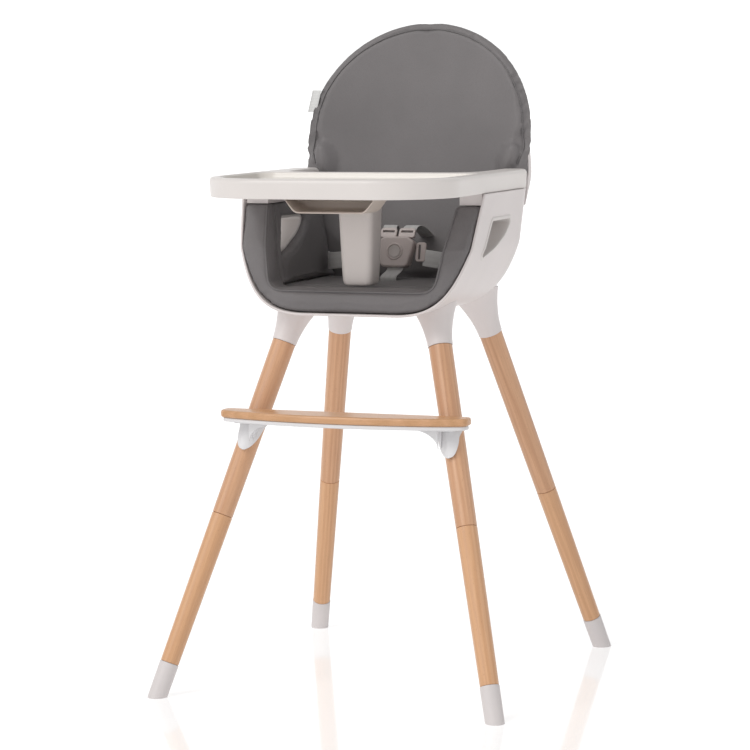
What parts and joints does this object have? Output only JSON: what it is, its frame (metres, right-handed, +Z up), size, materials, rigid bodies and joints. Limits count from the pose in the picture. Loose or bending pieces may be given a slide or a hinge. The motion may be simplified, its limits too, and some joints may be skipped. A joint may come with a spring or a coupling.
{
  "type": "baby high chair",
  "caption": "Convertible baby high chair: padded bucket seat on four splayed two-piece wooden legs, sliding tray with crotch post and lift-out insert, footrest and five-point harness.",
  "frame": {"origin": "on the floor under the middle of the chair's footprint", "axes": "+Z up, the seat faces -Y, X runs across the chair"},
  "size_m": [0.5422, 0.5994, 0.9605],
  "materials": {
    "shell": "fine satin moulded polypropylene",
    "tray": "satin moulded plastic",
    "insert": "smooth wipe-clean plastic",
    "handle": "satin moulded plastic",
    "bezel": "satin moulded plastic",
    "cap": "satin moulded plastic",
    "beech_upper": "clear lacquered beech",
    "beech_lower": "clear lacquered beech",
    "board": "clear lacquered beech",
    "liner": "fine-grained leatherette",
    "webbing": "woven polyester webbing",
    "buckle": "moulded plastic",
    "button": "moulded plastic",
    "tag": "woven label",
    "screw": "zinc plated"
  },
  "bodies": {
    "chair": {"seat_shell": "shell", "back_shell": "shell", "rail_left": "shell", "rail_right": "shell", "bezel_left": "bezel", "bezel_right": "bezel", "bezel_screws": "screw", "leg_socket_fl": "shell", "leg_socket_fr": "shell", "leg_socket_rl": "shell", "leg_socket_rr": "shell", "upper_leg_fl": "beech_upper", "upper_leg_fr": "beech_upper", "upper_leg_rl": "beech_upper", "upper_leg_rr": "beech_upper", "lower_leg_fl": "beech_lower", "lower_leg_fr": "beech_lower", "lower_leg_rl": "beech_lower", "lower_leg_rr": "beech_lower", "foot_cap_fl": "cap", "foot_cap_fr": "cap", "foot_cap_rl": "cap", "foot_cap_rr": "cap", "leg_top_bolts": "screw", "leg_joint_studs": "screw", "footrest_board": "board", "footrest_frame": "shell", "footrest_bracket_left": "shell", "footrest_bracket_right": "shell", "footrest_bolts": "screw", "liner_back": "liner", "liner_seat": "liner", "liner_side_left": "liner", "liner_side_right": "liner", "liner_front_roll": "liner", "liner_tag": "tag", "waist_strap_left": "webbing", "waist_strap_right": "webbing", "shoulder_strap_left": "webbing", "shoulder_strap_right": "webbing", "crotch_strap": "webbing", "buckle_body": "buckle", "shell_screws": "screw"},
    "tray": {"tray_body": "tray", "tray_bottom_cover": "tray", "crotch_post": "handle"},
    "insert": {"tray_insert": "insert"},
    "handle": {"release_handle": "handle"},
    "latch_left": {"latch_left": "handle"},
    "latch_right": {"latch_right": "handle"},
    "harness_button": {"buckle_button": "button"}
  },
  "joints": [
    {"name": "tray_slide", "type": "slide", "parent": "chair", "child": "tray", "axis": [0, -1, 0], "range_m": [0, 0.21]},
    {"name": "insert_lift", "type": "slide", "parent": "tray", "child": "insert", "axis": [0, 0, 1], "range_m": [0, 0.06]},
    {"name": "handle_pull", "type": "slide", "parent": "tray", "child": "handle", "axis": [0, -1, 0], "range_m": [0, 0.012], "stiffness_N_per_m": 900},
    {"name": "latch_left_draw", "type": "slide", "parent": "tray", "child": "latch_left", "axis": [1, 0, 0], "range_m": [0, 0.008]},
    {"name": "latch_right_draw", "type": "slide", "parent": "tray", "child": "latch_right", "axis": [-1, 0, 0], "range_m": [0, 0.008]},
    {"name": "buckle_press", "type": "slide", "parent": "chair", "child": "harness_button", "axis": [0, 0.9703, -0.2419], "range_m": [0, 0.0025], "stiffness_N_per_m": 1200}
  ],
  "couplings": [
    {"joint": "latch_left_draw", "follows": "handle_pull", "ratio": 0.666},
    {"joint": "latch_right_draw", "follows": "handle_pull", "ratio": 0.666}
  ]
}
